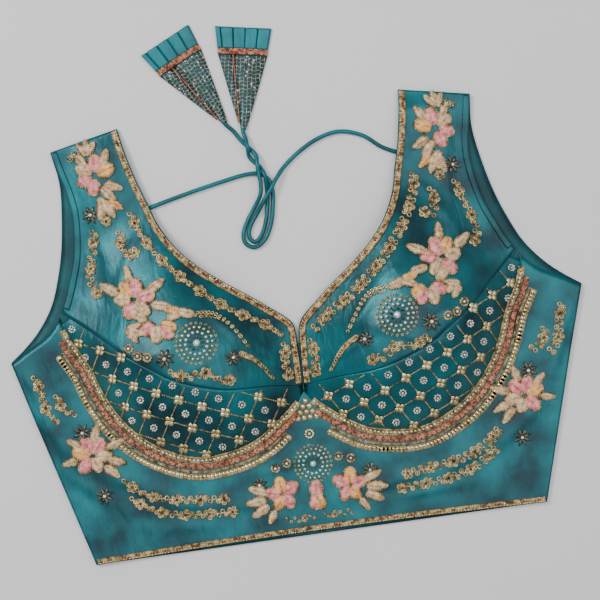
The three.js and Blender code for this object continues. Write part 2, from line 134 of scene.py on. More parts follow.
def frontHeight(x, y):
    dx, dy = np.abs(x) - garment["cupX"], y - garment["cupY"]
    deg = np.degrees(np.arctan2(dy, dx))
    q = np.minimum(1, np.hypot(dx, dy) / cupReach(deg))
    creased = np.where(deg < 0, 1 - ease(-125, -178, deg), 1 - ease(0, 30, deg))
    z = garment["top"] + garment["cupHigh"] * (creased * (1 - q ** 2.5) + (1 - creased) * (1 - q * q) ** 2)
    for fx, fy, run, along, across, high in folds:
        c, s = math.cos(math.radians(run)), math.sin(math.radians(run))
        u, v = ((x - fx) * c + (y - fy) * s) / along, ((y - fy) * c - (x - fx) * s) / across
        z = z + high * np.exp(-u * u - v * v)
    lift = garment["strapLift"] * (1 - ease(135, 168, np.abs(x)))
    return z + lift * ease(215, 265, y) * (1 - ease(338, 358, y))


# places on the front raised off its surface, in metres
def onFront(x, y, raised):
    d = 0.4  # step that the slope is read over
    normal = np.stack([-(frontHeight(x + d, y) - frontHeight(x - d, y)) / (2 * d),
                       -(frontHeight(x, y + d) - frontHeight(x, y - d)) / (2 * d), np.ones_like(x)], 1)
    normal /= np.linalg.norm(normal, axis=1)[:, None]
    base = np.stack([x + leanAt(y) - garment["midX"], y - garment["midY"], frontHeight(x, y)], 1)
    return (base + normal * np.asarray(raised)[:, None]) / mmPerMetre


# the lower cup's outer seam, from the centre front round to the armhole
def edgePoint(share):
    deg = -154 + 177 * np.asarray(share, float)
    r = cupReach(deg)
    return np.stack([garment["cupX"] + r * np.cos(np.radians(deg)),
                     garment["cupY"] + r * np.sin(np.radians(deg))], -1)


def toLinear(code):
    rgb = [int(code[i:i + 2], 16) / 255 for i in (1, 3, 5)]
    return [c / 12.92 if c < 0.04045 else ((c + 0.055) / 1.055) ** 2.4 for c in rgb] + [1]


def addNode(tree, kind, settings=None, links=None):
    node = tree.nodes.new(kind)
    for name, value in (settings or {}).items():
        if name in node.inputs:
            node.inputs[name].default_value = value
        else:
            setattr(node, name, value)
    for name, source in (links or {}).items():
        tree.links.new(source, node.inputs[name])
    return node


def newMaterial(name, sockets):
    mat = bpy.data.materials.new(name)
    mat.use_nodes = True
    tree = mat.node_tree
    shader = tree.nodes["Principled BSDF"]
    for key, value in sockets.items():
        shader.inputs[key].default_value = value
    return mat, tree, shader


def colourNoise(tree, place, scale, low, high, detail=4.0):
    noise = addNode(tree, "ShaderNodeTexNoise", {"Scale": scale, "Detail": detail}, {"Vector": place})
    ramp = addNode(tree, "ShaderNodeValToRGB", {}, {"Fac": noise.outputs["Fac"]})
    ramp.color_ramp.elements[0].position, ramp.color_ramp.elements[1].position = 0.34, 0.68
    ramp.color_ramp.elements[0].color, ramp.color_ramp.elements[1].color = toLinear(low), toLinear(high)
    return ramp.outputs["Color"]


# silk satin: long floats give a soft broad sheen that breaks along small creases
def makeSatin(name, low, high, roughness):
    mat, tree, shader = newMaterial(name,
                                    {"Roughness": roughness, "Sheen Weight": 0.06, "Sheen Roughness": 0.4,
                                           "Specular IOR Level": 0.4, "Metallic": 0.4})
    place = addNode(tree, "ShaderNodeTexCoord").outputs["Object"]
    tree.links.new(colourNoise(tree, place, 26.0, low, high), shader.inputs["Base Color"])
    stretched = addNode(tree, "ShaderNodeMapping", {"Rotation": (0, 0, 0.5), "Scale": (1.0, 0.35, 1.0)},
                        {"Vector": place})
    creases = addNode(tree, "ShaderNodeTexNoise", {"Scale": 95.0, "Detail": 3.0, "Distortion": 0.6},
                      {"Vector": stretched.outputs["Vector"]})
    weave = addNode(tree, "ShaderNodeTexWave", {"Scale": 420.0, "Distortion": 1.5},
                    {"Vector": place})  # 0.4 mm floats, drawn coarse
    bumpA = addNode(tree, "ShaderNodeBump", {"Strength": 0.55, "Distance": 0.0016},
                    {"Height": creases.outputs["Fac"]})
    bumpB = addNode(tree, "ShaderNodeBump", {"Strength": 0.12, "Distance": 0.0003},
                    {"Height": weave.outputs["Fac"], "Normal": bumpA.outputs["Normal"]})
    tree.links.new(bumpB.outputs["Normal"], shader.inputs["Normal"])
    return mat


# fine parts: metal thread, beads and floss, each with a mottled colour and a fine grain
def makeFine(name, low, high, sockets, scale=260.0, bump=0.35):
    mat, tree, shader = newMaterial(name, sockets)
    place = addNode(tree, "ShaderNodeTexCoord").outputs["Object"]
    tree.links.new(colourNoise(tree, place, scale, low, high, 2.0), shader.inputs["Base Color"])
    grain = addNode(tree, "ShaderNodeTexNoise", {"Scale": 1500.0}, {"Vector": place})
    lift = addNode(tree, "ShaderNodeBump", {"Strength": bump, "Distance": 0.0003},
                   {"Height": grain.outputs["Fac"]})
    tree.links.new(lift.outputs["Normal"], shader.inputs["Normal"])
    return mat


finishes = {
    "satin": (makeSatin("silkSatin", "#002f38", "#00666e", 0.34), "silk_satin"),
    "inside": (makeSatin("satinInside", "#002d34", "#004a50", 0.5), "back_satin"),
    "tube": (makeSatin("satinTube", "#00484f", "#006c74", 0.38), "dori_satin"),
    "zari": (makeFine("zariThread", "#5e4624", "#dcc08a", {"Metallic": 0.6, "Roughness": 0.42}),
             "zari_braid"),  # wound gilt wire
    "sequin": (makeFine("giltSequin", "#b9a062", "#f4eac0", {"Metallic": 0.85, "Roughness": 0.2}, 220.0,
                        0.1), "sequins"),  # pressed foil
    "silver": (makeFine("silverBead", "#a8a596", "#f2efe2", {"Metallic": 0.7, "Roughness": 0.25}),
               "sequins"),
    "coral": (makeFine("coralBead", "#8c4630", "#d98a68", {"Roughness": 0.4}), "coral_braid"),
    "maroon": (makeFine("maroonFloss", "#4a1216", "#7c2a24", {"Roughness": 0.5}), "embroidery_thread"),
    "pink": (makeFine("pinkFloss", "#b8505a", "#f0a09a", {"Roughness": 0.55, "Sheen Weight": 0.2}),
             "embroidery_thread"),
    "cream": (makeFine("creamFloss", "#a9825c", "#e3c79c", {"Roughness": 0.55, "Sheen Weight": 0.2}),
              "embroidery_thread"),
    "amber": (makeFine("amberFloss", "#c97c3a", "#f2bf72", {"Roughness": 0.55, "Sheen Weight": 0.2}),
              "embroidery_thread"),
    "smoke": (makeFine("smokeBead", "#1c211c", "#5a5a48", {"Roughness": 0.15, "Metallic": 0.3}),
              "glass_stones"),
    "stone": (makeFine("cutStone", "#aeb4b6", "#fbfbf6", {"Roughness": 0.08, "Metallic": 0.5}, 600.0, 0.05),
              "glass_stones"),
}
print("materials made")


# a piece from points and faces, with its finish, riding on the garment's one body
def makePiece(name, verts, faces, finish, standsFor=(), wall=None):
    if wall:  # the wall grows down from the outside, so the faces look up
        a, b, c = (np.asarray(verts[int(i)]) for i in faces[len(faces) // 2][:3])
        if np.cross(b - a, c - a)[2] < 0:
            faces = [tuple(f)[::-1] for f in faces]
    mesh = bpy.data.meshes.new(name)
    mesh.from_pydata([tuple(v) for v in verts], [], [tuple(int(i) for i in f) for f in faces])
    mesh.materials.append(finishes[finish][0])
    piece = bpy.data.objects.new(name, mesh)
    bpy.context.scene.collection.objects.link(piece)
    mesh.shade_smooth()
    bpy.ops.object.select_all(action="DESELECT")
    piece.select_set(True)
    bpy.context.view_layer.objects.active = piece
    if wall:
        solid = piece.modifiers.new("wall", "SOLIDIFY")
        solid.thickness, solid.offset = wall / mmPerMetre, -1
        bpy.ops.object.modifier_apply(modifier="wall")
    bpy.ops.object.mode_set(mode="EDIT")
    bpy.ops.mesh.select_all(action="SELECT")
    bpy.ops.mesh.normals_make_consistent(inside=False)
    bpy.ops.object.mode_set(mode="OBJECT")
    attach(piece, "root")
    if standsFor:
        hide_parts(*standsFor)
    piece.select_set(False)
    return piece


def gridFaces(rows, columns):
    base = np.arange(rows * columns).reshape(rows, columns)
    return np.stack([base[:-1, :-1], base[:-1, 1:], base[1:, 1:], base[1:, :-1]], -1).reshape(-1, 4)


def frontPanel(name, side, edgeA, edgeB, across):
    share = np.linspace(0, 1, across)[None, :, None]
    flat = (edgeA[:, None, :] * (1 - share) + edgeB[:, None, :] * share).reshape(-1, 2)
    points = onFront(flat[:, 0] * side, flat[:, 1], np.zeros(len(flat)))
    faces = gridFaces(len(edgeA), across)
    makePiece(name, points, faces, "satin", [name], garment["cloth"])


def buildCloth():
    for label, side in (("left", -1), ("right", 1)):
        outer = np.concatenate([curvePoints(cupSeam, 84, 0.004, 1), curvePoints(armhole, 72)[1:]])
        frontPanel("yoke_" + label, side, outer, curvePoints(neckline, len(outer), 0.012, 1), 36)
        share = np.linspace(0.014, 0.985, 110)
        frontPanel("cup_lower_" + label, side, edgePoint(share),
                   curvePoints(cupSeam, 110, 0.01, 0.965) - (0, 0.4), 30)
        backArm, neck = curvePoints(backArmhole, 40), curvePoints(backNeck, 60)
        bottom = [(x, -1.4) for x in np.linspace(0.2, hem["corner"], 30)]
        sideSeam = [(hem["corner"] + 51 * t, -1.4 + 177.9 * t) for t in np.linspace(0.04, 0.98, 22)]
        outer = np.concatenate([bottom, sideSeam, backArm])
        inner = np.concatenate([[(0.2, y) for y in np.linspace(1, 159, len(outer) - len(neck))], neck])
        share = np.linspace(0, 1, 12)[None, :, None]
        flat = (outer[:, None, :] * (1 - share) + inner[:, None, :] * share).reshape(-1, 2)
        x, y = flat[:, 0] * side + leanAt(flat[:, 1]) - garment["midX"], flat[:, 1] - garment["midY"]
        points = np.stack([x, y, np.full(len(flat), garment["back"])], 1) / mmPerMetre
        name = "back_" + label
        makePiece(name, points, gridFaces(len(outer), 12), "inside", [name], garment["back"])
    out = np.linspace(-1, 1, 281)
    side, reach = np.where(out < 0, -1.0, 1.0), np.abs(out)
    arm = curvePoints(underarm, 400)[::-1]
    top = np.array([edgePoint(r / 0.8) if r <= 0.8 else arm[int((r - 0.8) / 0.2 * 399)] for r in reach])
    top[:, 0] = np.maximum(0, top[:, 0]) * side
    frontPanel("midriff", 1, hemEdge(side * reach ** 1.12 * hem["corner"]), top, 40)
    print("cloth made")


# embroidery: small forms modelled once, then stamped on the front
def primitiveForm(kind, **settings):
    getattr(bpy.ops.mesh, "primitive_" + kind + "_add")(**settings)
    piece = bpy.context.object
    verts = np.array([v.co for v in piece.data.vertices])
    faces = [tuple(f.vertices) for f in piece.data.polygons]
    bpy.data.objects.remove(piece)
    return verts, faces


def leafForm(fat, tip):
    verts, faces = primitiveForm("uv_sphere", segments=12, ring_count=7, radius=0.5, rotation=(0, 0, 0))
    verts = verts[:, [2, 0, 1]]  # poles lie along the leaf
    t = verts[:, 0] + 0.5
    verts[:, 1] *= fat * (1.15 - tip * t)
    verts[:, 2] = verts[:, 2] * 0.34 + 0.16 * np.abs(verts[:, 1]) * np.cos(9 * np.pi * t)
    verts[:, 0] += 0.5
    return verts, faces


bead = primitiveForm("ico_sphere", subdivisions=1, radius=0.5)
roundBead = primitiveForm("ico_sphere", subdivisions=2, radius=0.5)
disc = primitiveForm("cylinder", vertices=9, radius=0.5, depth=0.16)
loop = primitiveForm("torus", major_segments=10, minor_segments=5, major_radius=0.36, minor_radius=0.14)
leaf, petal = leafForm(0.5, 0.55), leafForm(0.72, 0.2)
stock = {}


def stamp(finish, form, x, y, size, turn=0.0, high=1.0, raised=0.0):
    stock.setdefault(finish, []).append((form, x, y, size, turn, high, raised))


def flushStock(prefix):
    for finish, rows in stock.items():
        flats, raises, faces, base = [], [], [], 0
        for form, x, y, size, turn, high, raised in rows:
            verts, forms = form
            c, s = math.cos(turn), math.sin(turn)
            u, v = verts[:, 0] * size, verts[:, 1] * size
            flats.append(np.stack([x + u * c - v * s, y + u * s + v * c], 1))
            raises.append(verts[:, 2] * size * high + raised)
            faces += [[i + base for i in f] for f in forms]
            base += len(verts)
        flat = np.concatenate(flats)
        makePiece(prefix + "_" + finish, onFront(flat[:, 0], flat[:, 1], np.concatenate(raises)), faces,
                  finish)
    stock.clear()


def beadFlower(x, y, r, petals="silver", centre="sequin", count=8):
    for k in range(count):
        a = 2 * math.pi * k / count + x
        stamp(petals, bead, x + r * 0.66 * math.cos(a), y + r * 0.66 * math.sin(a), r * 0.56, a, 0.9, 0.5)
    stamp(centre, bead, x, y, r * 0.6, 0, 1.2, 0.9)


def loopFlower(x, y, r, count=5):
    for k in range(count):
        a = 2 * math.pi * k / count + 0.7 * x
        stamp("zari", loop, x + r * 0.62 * math.cos(a), y + r * 0.62 * math.sin(a), r * 0.92, a, 1.1, 0.6)
        stamp("sequin", bead, x + r * 0.62 * math.cos(a), y + r * 0.62 * math.sin(a), r * 0.3, a, 1, 0.6)
    stamp("smoke", bead, x, y, r * 0.5, 0, 1.2, 1.0)


def outlinedLeaf(x, y, turn, length, fill, form=leaf, fat=0.5):
    stamp(fill, form, x, y, length, turn, 1.0, 0.7)
    c, s = math.cos(turn), math.sin(turn)
    steps = max(12, int(length * 1.6))
    for k in range(steps):
        a = 2 * math.pi * k / steps
        t = 0.5 - 0.5 * math.cos(a)
        v = 0.5 * fat * math.sin(a) * (1.15 - (0.55 if form is leaf else 0.2) * t) * length * 1.06
        stamp("zari", bead, x + t * length * c - v * s, y + t * length * s + v * c, 1.9, a, 1.0, 1.1)
    for k in range(int(length / 2.4)):  # midrib
        t = (k + 1) / (length / 2.4 + 1)
        stamp("zari", bead, x + t * length * c, y + t * length * s, 1.2, 0, 1, 1.2 + length * 0.15)


def darkFlower(x, y, r):
    for k in range(8):
        a = math.pi * k / 4 + 0.3
        stamp("smoke", leaf, x + 0.18 * r * math.cos(a), y + 0.18 * r * math.sin(a), r * 0.86, a, 1.0, 0.8)
        stamp("zari", bead, x + r * 0.9 * math.cos(a), y + r * 0.9 * math.sin(a), 1.2, 0, 1, 0.6)
    stamp("stone", roundBead, x, y, r * 0.42, 0, 1, 1.4)


def medallion(x, y, r):
    for count, share, size, finish in ((26, 0.97, 1.9, "zari"), (20, 0.76, 2.5, "sequin"),
                                       (14, 0.52, 2.5, "silver"), (9, 0.31, 2.0, "smoke")):
        for k in range(count):
            a = 2 * math.pi * k / count
            stamp(finish, loop if finish == "zari" else bead, x + r * share * math.cos(a),
                  y + r * share * math.sin(a),
                  size * r / 17 * 1.25, a, 1.0, 0.8 + 1.4 * (1 - share))
    stamp("stone", roundBead, x, y, r * 0.34, 0, 0.9, 2.2)


def vineAlong(points, gap, r=3.7):
    run = np.concatenate([[0], np.cumsum(np.linalg.norm(np.diff(points, axis=0), axis=1))])
    for n, at in enumerate(np.arange(gap / 2, run[-1], gap)):
        x, y = np.interp(at, run, points[:, 0]), np.interp(at, run, points[:, 1])
        if n % 3 == 1:
            loopFlower(x, y, r * 1.35)
        else:
            sway = 1.6 * (-1) ** n
            stamp("zari", loop, x + sway, y - sway, r * 1.35, n * 1.1, 1.1, 0.6)
            stamp("zari", loop, x - sway, y + sway, r * 1.25, n * 0.7, 1.1, 0.6)
            stamp("sequin", bead, x + sway, y - sway, r * 0.5, 0, 1, 0.6)


# a spray of petals and leaves round a point: turn in degrees, reach from the centre, length, fill, form
def spray(side, x, y, rows):
    for turn, off, length, fill, kind in rows:
        a = math.radians(turn if side > 0 else 180 - turn)
        outlinedLeaf(side * x + off * math.cos(a), y + off * math.sin(a), a, length, fill,
                     petal if kind else leaf, 0.72 if kind else 0.5)


strapSpray = [(100, 3, 15, "pink", 1), (35, 3, 14, "cream", 1), (160, 3, 15, "amber", 1),
              (-20, 3, 13, "pink", 1), (-75, 3, 14, "pink", 1)]
strapLeaves = [(205, 8, 15, "cream", 0), (235, 8, 17, "cream", 0), (265, 15, 15, "cream", 0),
               (120, 13, 15, "cream", 0), (62, 13, 14, "cream", 0)]
bustSpray = [(105, 2, 16, "pink", 1), (60, 3, 15, "amber", 1), (170, 3, 15, "pink", 1),
             (10, 3, 14, "cream", 1), (-60, 2, 15, "pink", 1), (-120, 2, 13, "cream", 1)]
bustLeaves = [(35, 16, 17, "cream", 0), (150, 15, 16, "cream", 0), (195, 15, 15, "cream", 0),
              (85, 17, 14, "cream", 0)]


def buildEmbroidery():
    for side in (-1, 1):
        spray(side, 144, 322, strapSpray)
        spray(side, 144, 318, strapLeaves)
        spray(side, 140, 302, [(250, 2, 16, "cream", 0), (290, 2, 16, "cream", 0),
                               (215, 4, 14, "amber", 0)])
        spray(side, 148, 340, [(95, 0, 13, "cream", 0), (130, 0, 13, "cream", 0), (60, 0, 12, "cream", 0)])
        for k in range(3):
            beadFlower(side * (158 + 4 * (k - 1)), 339 + 3.4 * (k % 2), 3.4, "zari")
        darkFlower(side * 153, 290, 7.5)
        loopFlower(side * 141, 283, 4.6)
        vineAlong(curvePoints([(side * 152, 278), (side * 156, 262), (side * 161, 246), (side * 163, 232),
                               (side * 158, 222)], 40), 7.5)
        vineAlong(curvePoints([(side * 131, 274), (side * 132, 260), (side * 126, 250), (side * 118, 258)],
                              40), 7)
        vineAlong(curvePoints([(side * 120, 288), (side * 116, 272), (side * 102, 246), (side * 80, 220),
                               (side * 54, 197), (side * 26, 179), (side * 12, 167)], 90), 6.6)
        vineAlong(curvePoints([(side * 11, 162), (side * 13, 146), (side * 11, 130)], 30), 6.2)
        spray(side, 128, 214, bustSpray)
        spray(side, 128, 212, bustLeaves)
        spray(side, 112, 192, [(-20, 2, 14, "pink", 1), (-75, 2, 14, "cream", 1), (-130, 3, 14, "pink", 1),
                               (200, 3, 13, "amber", 1), (30, 9, 16, "cream", 0), (60, 10, 15, "cream", 0)])
        spray(side, 138, 190, [(200, 0, 14, "cream", 0), (165, 0, 13, "cream", 0),
                               (235, 0, 13, "cream", 0)])
        spray(side, 92, 199, [(200, -2, 15, "cream", 0), (20, 0, 14, "amber", 0), (-25, 0, 13, "cream", 0)])
        for k, (x, y) in enumerate([(139, 175), (132, 168), (124, 166)]):
            beadFlower(side * x, y, 4.6, "zari", "stone", 10)
        darkFlower(side * 110, 163, 8)
        medallion(side * 83, 172, 17)
        for k in range(13):  # open oval of a double coil row
            t = k / 12
            for off in (0, 4.2):
                x, y = 76 - 34 * t + off * 0.5, 193 - 29 * t + 9 * math.sin(math.pi * t) + off * 0.8
                stamp("sequin" if off else "zari", loop, side * x, y, 3.2, k, 1.2, 0.7)
        darkFlower(side * 55, 156, 7)
        for k in range(16):  # curling leaf of coiled wire
            t = k / 15
            stamp("zari", loop, side * (48 - 23 * t), 158 - 24 * t + 4 * math.sin(3 * t), 5.4 - 2.2 * t,
                  1.3 * k, 1.5, 0.8)
        vineAlong(curvePoints([(side * 108, 152), (side * 94, 146), (side * 78, 147), (side * 68, 140),
                               (side * 54, 138)], 40), 7)
        # midriff sides
        vineAlong(curvePoints([(side * 224, 163), (side * 219, 147), (side * 217, 134), (side * 209, 122)],
                              40), 6.5)
        vineAlong(curvePoints([(side * 207, 145), (side * 203, 132), (side * 192, 126)], 30), 6.5)
        darkFlower(side * 189, 110, 8)
        spray(side, 183, 90, [(70, 2, 15, "pink", 1), (20, 2, 15, "amber", 1), (130, 2, 15, "pink", 1),
                              (190, 3, 14, "cream", 1), (-50, 2, 15, "pink", 1), (-110, 2, 13, "cream", 1)])
        spray(side, 183, 90, [(105, 13, 14, "cream", 0), (160, 14, 15, "cream", 0),
                              (-10, 13, 13, "cream", 0), (200, 14, 15, "cream", 0),
                              (225, 14, 15, "cream", 0), (40, 12, 13, "cream", 0)])
        darkFlower(side * 177, 55, 7.5)
        vineAlong(curvePoints([(side * 160, 66), (side * 146, 54), (side * 128, 46), (side * 108, 42),
                               (side * 90, 40), (side * 72, 38)], 70), 6.6)
        vineAlong(curvePoints([(side * 156, 50), (side * 134, 36), (side * 112, 30), (side * 92, 28),
                               (side * 70, 27)], 60), 6.6)
        darkFlower(side * 47, 46, 7)
        spray(side, 28, 36, [(80, 1, 14, "amber", 1), (150, 1, 14, "pink", 1), (10, 1, 14, "pink", 1),
                             (-60, 1, 13, "amber", 1), (-120, 1, 13, "pink", 1)])
        spray(side, 30, 34, [(-5, 13, 17, "cream", 0), (-28, 13, 16, "cream", 0), (22, 13, 15, "cream", 0),
                             (-60, 12, 12, "cream", 0)])
        for x, y in ((22, 61), (32, 58)):
            beadFlower(side * x, y, 4.6, "zari", "stone", 10)
        vineAlong(curvePoints([(side * 3, 14), (side * 18, 13), (side * 30, 14)], 20), 6.5, 2.4)
    medallion(0, 58, 16)
    beadFlower(0, 83, 5, "sequin", "stone", 10)
    for row in range(4):
        for k in range(4 - row):
            stamp("sequin", disc, (k - (3 - row) / 2) * 5.2, 99 + row * 4.6 - 2, 5, 0.3 * k, 1, 0.7)
    spray(1, 0, 30, [(90, 0, 14, "pink", 1), (250, -2, 13, "pink", 1), (290, -2, 13, "amber", 1)])


def insideLoop(points, loopPoints):
    x, y = points[:, 0], points[:, 1]
    odd = np.zeros(len(points), bool)
    for (x1, y1), (x2, y2) in zip(loopPoints, np.roll(loopPoints, -1, axis=0)):
        cross = (y1 > y) != (y2 > y)
        odd ^= cross & (x < (x2 - x1) * (y - y1) / (y2 - y1 + 1e-12) + x1)
    return odd


lattice = {"turnA": 24, "turnB": -58, "gapA": 19.5, "gapB": 19.5, "cord": 1.3}


def buildLattice():
    outer, inner = edgePoint(np.linspace(0.03, 0.97, 90)), curvePoints(cupSeam, 60, 0.02, 0.95)
    middle = np.array([garment["cupX"], garment["cupY"] - 20])
    region = np.concatenate([outer + (middle - outer) * 0.055, (inner - (0, 3))[::-1]])
    a, b = np.radians(lattice["turnA"]), np.radians(lattice["turnB"])
    ua, ub = np.array([np.cos(a), np.sin(a)]), np.array([np.cos(b), np.sin(b)])
    na, nb = np.array([-ua[1], ua[0]]), np.array([-ub[1], ub[0]])
    for direction, normal, gap in ((ua, na, lattice["gapA"]), (ub, nb, lattice["gapB"])):
        for k in range(-9, 10):
            line = middle + normal * gap * k + direction * np.arange(-150, 150, 1.5)[:, None]
            for x, y in line[insideLoop(line, region)]:
                for side in (-1, 1):
                    stamp("zari", bead, side * x, y, lattice["cord"], 0, 1, 0.5)
    span = np.linalg.inv(np.stack([na, nb]))
    for i in range(-9, 10):
        for j in range(-9, 10):
            for half, isCross in ((0.0, True), (0.5, False)):
                at = middle + span @ np.array([(i + half) * lattice["gapA"], (j + half) * lattice["gapB"]])
                if not insideLoop(at[None], region)[0]:
                    continue
                for side in (-1, 1):
                    if isCross:
                        for k in range(4):
                            c = math.pi / 2 * k + 0.5
                            stamp("sequin", disc, side * at[0] + 2.5 * math.cos(c),
                                  at[1] + 2.5 * math.sin(c), 4.0, c, 1, 1.0)
                        stamp("silver", bead, side * at[0], at[1], 1.6, 0, 1, 1.5)
                    else:
                        beadFlower(side * at[0], at[1], 3.7, "silver", "stone")


# sewn trims: a base tape with its beads
def trimBase(name, side, path, offsets, finish, thick, standsFor):
    ahead = np.gradient(path, axis=0)
    ahead /= np.linalg.norm(ahead, axis=1)[:, None]
    normal = np.stack([-ahead[:, 1], ahead[:, 0]], 1)
    share = np.linspace(offsets[0], offsets[1], 7)
    crown = thick * (1 - np.abs(np.linspace(-1, 1, 7)) ** 3 * 0.7)
    flat = (path[:, None, :] + normal[:, None, :] * share[None, :, None]).reshape(-1, 2)
    points = onFront(flat[:, 0] * side, flat[:, 1], np.tile(0.3 + crown, len(path)))
    faces = gridFaces(len(path), 7)
    if (offsets[1] - offsets[0]) * side < 0:
        faces = faces[:, ::-1]
    makePiece(name, points, faces, finish, [standsFor] if standsFor else [], 0.7)
    return normal


def beadsAlong(side, path, normal, offset, gap, size, finishList, form=bead, high=1.0, raised=1.4,
               turnStep=0.0):
    line = path + normal * offset
    run = np.concatenate([[0], np.cumsum(np.linalg.norm(np.diff(line, axis=0), axis=1))])
    for n, at in enumerate(np.arange(gap / 2, run[-1], gap)):
        x, y = np.interp(at, run, line[:, 0]), np.interp(at, run, line[:, 1])
        turn = math.atan2(np.interp(at + 0.5, run, line[:, 1]) - y,
                          (np.interp(at + 0.5, run, line[:, 0]) - x) or 1e-6)
        stamp(finishList[n % len(finishList)], form, side * x, y, size, turn * side + turnStep * n, high,
              raised)


def buildTrims():
    braidPattern = ["zari", "zari", "sequin", "zari", "maroon", "maroon"]
    for label, side in (("left", -1), ("right", 1)):
        neck = curvePoints(neckline, 200, 0.015, 0.995)
        normal = trimBase("neck_trim_" + label, side, neck, (-1.0, -6), "zari", 0.9, "neck_trim_" + label)
        for offset, size, pattern in ((-1.8, 1.7, ["zari", "sequin"]), (-3.5, 2.4, braidPattern),
                                      (-5.3, 1.7, ["zari"])):
            beadsAlong(side, neck, normal, offset, size * 0.92, size, pattern, bead, 0.8, 1.2)
        trimBase("armhole_binding_" + label, side, curvePoints(armhole, 90, 0.03, 0.99), (0.1, 5.6),
                 "satin", 0.8, "armhole_binding_" + label)
        row = edgePoint(np.linspace(0.035, 0.97, 180))
        normal = trimBase("cup_bead_row_" + label, side, row, (-2.9, 2.9), "zari", 0.8,
                          "cup_bead_row_" + label)
        beadsAlong(side, row, normal, 0, 3.4, 3.5, ["silver", "sequin"], roundBead, 0.8, 1.5)
        for offset in (-2.5, 2.5):
            beadsAlong(side, row, normal, offset, 1.6, 1.6, ["zari"], bead, 1, 1.0)
        row = edgePoint(np.linspace(0.06, 0.95, 180))
        normal = trimBase("cup_braid_" + label, side, row, (-8.2, -3.6), "coral", 0.8, "cup_braid_" + label)
        for offset, pattern in ((-4.5, ["coral", "zari", "coral", "maroon"]),
                                (-5.9, ["zari", "coral", "coral", "zari", "maroon"]),
                                (-7.3, ["coral", "maroon", "zari"])):
            beadsAlong(side, row, normal, offset, 1.55, 1.7, pattern, bead, 1, 1.1)
        row = edgePoint(np.linspace(0.115, 0.93, 180))
        normal = trimBase("cup_sequin_row_" + label, side, row, (-17.2, -11.6), "zari", 0.5,
                          "cup_sequin_row_" + label)
        beadsAlong(side, row, normal, -14.4, 3.3, 5.6, ["sequin"], disc, 1, 1.5, 0.4)
        beadsAlong(side, row, normal, -14.4, 3.3, 1.3, ["zari"], bead, 1, 2.2)
        for offset in (-9.6, -10.6):
            beadsAlong(side, row, normal, offset, 1.1, 1.25, ["zari"], bead, 1, 0.7)
    hemLine = hemEdge(np.linspace(-189.5, 189.5, 200))
    normal = trimBase("hem_trim", 1, hemLine, (0.6, 4.9), "zari", 0.9, "hem_trim")
    for offset, size, pattern in ((1.2, 1.5, ["zari", "sequin"]), (2.75, 2.2, braidPattern),
                                  (4.3, 1.5, ["zari"])):
        beadsAlong(1, hemLine, normal, offset, size * 0.92, size, pattern, bead, 0.8, 1.2)
    print("trims made")


# the tie: routes in millimetres, as in the frame
doriRoutes = {
    "left": [(-110, 288.5, 2), (-104, 290, 2), (-87, 294, 2), (-66, 298.5, 2), (-42, 303, 2), (-22, 306, 2),
             (-11, 305, 2), (-4, 299.5, 2), (-1.8, 290, 2), (-3.2, 277, 2), (-7, 262, 2), (-13.5, 250, 2),
             (-22.5, 244.5, 2), (-30.2, 248.5, 2), (-31, 257, 2), (-26, 267.5, 2), (-18.5, 278, 3.4),
             (-12.5, 287, 6), (-10.8, 296, 6.6), (-11.4, 305, 6.6), (-11.4, 313, 7), (-11.6, 321, 4.2),
             (-17.6, 329, 1.9), (-23, 336, 1.9), (-27.5, 343.5, 2), (-33.2, 350.2, 2.4), (-38, 361, 2.4),
             (-42, 369.5, 2.4)],
    "right": [(109.4, 306.4, 2), (104, 308, 2), (93, 314, 2), (79.5, 325, 2), (61, 331, 2), (43, 328, 2),
              (25, 319, 2), (11, 308.5, 2.2), (4, 300.5, 4.6), (-2.6, 291.5, 6.6), (-10.4, 281.5, 6),
              (-17.5, 272, 2.8), (-24, 263, 2), (-26.6, 254.5, 2), (-22.8, 249, 2), (-16.6, 253, 2),
              (-11.4, 263.5, 2), (-8, 277, 2), (-6.4, 288, 2.2), (-6.2, 296, 4.4), (-6.6, 303.5, 6.4),
              (-9.8, 311, 3), (-16.9, 319.5, 2.4), (-17.5, 327.5, 6.8), (-18.2, 336, 4.2),
              (-19.4, 342.6, 2.4), (-17.5, 354, 2.4), (-15.8, 364, 2.4)],
}


def buildTie():
    for label, route in doriRoutes.items():
        points = np.array([(x - garment["midX"], y - garment["midY"], z) for x, y, z in route]) / mmPerMetre
        data = bpy.data.curves.new("dori_" + label, "CURVE")
        data.dimensions, data.bevel_depth, data.bevel_resolution, data.resolution_u = "3D", 0.0018, 5, 8
        spline = data.splines.new("BEZIER")
        spline.bezier_points.add(len(points) - 1)
        for k, point in enumerate(points):
            before, after = points[max(0, k - 1)], points[min(len(points) - 1, k + 1)]
            ahead = (after - before) / np.linalg.norm(after - before)
            knot = spline.bezier_points[k]
            knot.handle_left_type = knot.handle_right_type = "FREE"
            knot.co = point
            knot.handle_left = point - ahead * np.linalg.norm(point - before) / 3
            knot.handle_right = point + ahead * np.linalg.norm(after - point) / 3
        data.use_fill_caps = True
        data.materials.append(finishes["tube"][0])
        piece = bpy.data.objects.new("dori_tube_" + label, data)
        bpy.context.scene.collection.objects.link(piece)
        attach(piece, "root")
        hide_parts("dori_" + label)
    print("tie made")


tasselRows = {"left": {"x": -33.9, "y": 351.1, "deg": 115.5},
              "right": {"x": -19.6, "y": 343.6, "deg": 79.5}}
# along each tassel from its tip: cone, bead band, frill; and how high each part stands
tassel = {"cone": 63, "tipHalf": 2.2, "bandHalf": 14.5, "fold": 12.75, "band": (63.2, 67.8),
          "frill": (68, 86),
          "frontHigh": 5.2, "sideHigh": 3.6, "bandHigh": 5.6, "pleats": 4.5, "flare": 0.12, "net": 3.3}


